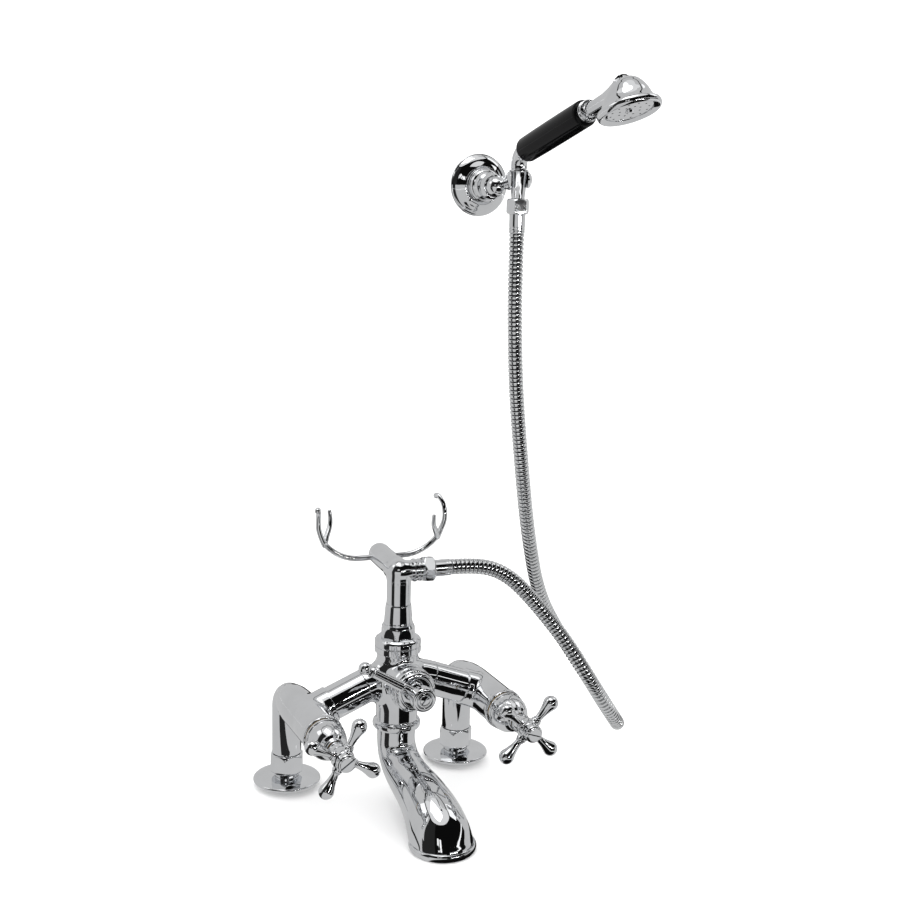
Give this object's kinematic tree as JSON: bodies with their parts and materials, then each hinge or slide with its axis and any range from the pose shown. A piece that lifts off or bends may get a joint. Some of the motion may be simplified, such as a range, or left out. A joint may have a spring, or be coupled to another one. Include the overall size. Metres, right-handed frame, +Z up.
{
  "type": "bath mixer",
  "caption": "Deck mounted two handle bath mixer with a spout, lever diverter, riser with cradle, metal shower hose and a hand shower in a wall holder.",
  "frame": {"origin": "On the deck, midway between the axes of the two inlets", "axes": "+X along the row of inlets to the holder's side, -Y towards the bather over the bath, +Z up"},
  "size_m": [0.3878, 0.282, 0.6762],
  "materials": {
    "chrome": "mirror polished",
    "brass": "machined",
    "steel": "plain",
    "hose_metal": "polished spiral",
    "grip_black": "gloss",
    "rubber": "matte"
  },
  "bodies": {
    "mixer": {"left_deck_flange": "chrome", "left_deck_tail": "chrome", "left_leg_nut": "chrome", "left_valve_body": "chrome", "left_arm": "chrome", "left_headwork": "brass", "left_headwork_cover": "chrome", "right_deck_flange": "chrome", "right_deck_tail": "chrome", "right_leg_nut": "chrome", "right_valve_body": "chrome", "right_arm": "chrome", "right_headwork": "brass", "right_headwork_cover": "chrome", "tail_washers": "rubber", "spindle_seals": "rubber", "centre_body": "chrome", "column_cap": "chrome", "diverter_bonnet": "chrome", "diverter_seal": "rubber", "spout": "chrome", "spout_seal": "rubber", "riser_nut": "chrome", "riser_sleeve": "chrome", "riser_stem": "chrome", "yoke_screw": "steel", "cradle_yoke": "chrome", "outlet_hose_nut": "chrome", "outlet_hose_ferrule": "chrome", "hose": "hose_metal", "wall_plate": "steel", "wall_screws": "steel", "wall_flange": "chrome", "bracket_boss": "chrome"},
    "left_handle": {"left_cross_handle": "chrome", "left_handle_screw": "chrome", "left_spindle": "brass"},
    "left_valve_disc": {"left_jumper": "brass", "left_seat_washer": "rubber"},
    "right_handle": {"right_cross_handle": "chrome", "right_handle_screw": "chrome", "right_spindle": "brass"},
    "right_valve_disc": {"right_jumper": "brass", "right_seat_washer": "rubber"},
    "diverter": {"diverter_plug": "brass", "diverter_lever": "chrome", "diverter_cap": "chrome"},
    "holder": {"holder_arm": "chrome"},
    "handset": {"handset_tail": "chrome", "handset_grip": "grip_black", "grip_collar": "chrome", "head_shell": "chrome", "face_ring": "chrome", "spray_plate": "chrome", "handset_hose_nut": "chrome", "handset_hose_ferrule": "chrome"}
  },
  "joints": [
    {"name": "left_handle_turn", "type": "hinge", "parent": "mixer", "child": "left_handle", "pos_m": [-0.09, -0.16, 0.088], "axis": [0, -1, 0], "range_deg": [0, 540]},
    {"name": "left_disc_lift", "type": "slide", "parent": "mixer", "child": "left_valve_disc", "axis": [0, -1, 0], "range_m": [0, 0.00375]},
    {"name": "right_handle_turn", "type": "hinge", "parent": "mixer", "child": "right_handle", "pos_m": [0.09, -0.16, 0.088], "axis": [0, -1, 0], "range_deg": [0, 540]},
    {"name": "right_disc_lift", "type": "slide", "parent": "mixer", "child": "right_valve_disc", "axis": [0, -1, 0], "range_m": [0, 0.00375]},
    {"name": "diverter_turn", "type": "hinge", "parent": "mixer", "child": "diverter", "pos_m": [0, -0.113, 0.11672], "axis": [0, -1, 0], "range_deg": [-120, 0]},
    {"name": "holder_swivel", "type": "hinge", "parent": "mixer", "child": "holder", "pos_m": [0.126, 0.02, 0.571], "axis": [0, 0, 1], "range_deg": [-75, 15], "deforming": ["hose"]},
    {"name": "handset_lift", "type": "slide", "parent": "holder", "child": "handset", "axis": [0, 0, 1], "range_m": [0, 0.0075], "deforming": ["hose"]}
  ],
  "couplings": [
    {"joint": "left_disc_lift", "follows": "left_handle_turn", "m_per_rad": 0.00039789},
    {"joint": "right_disc_lift", "follows": "right_handle_turn", "m_per_rad": 0.00039789}
  ]
}
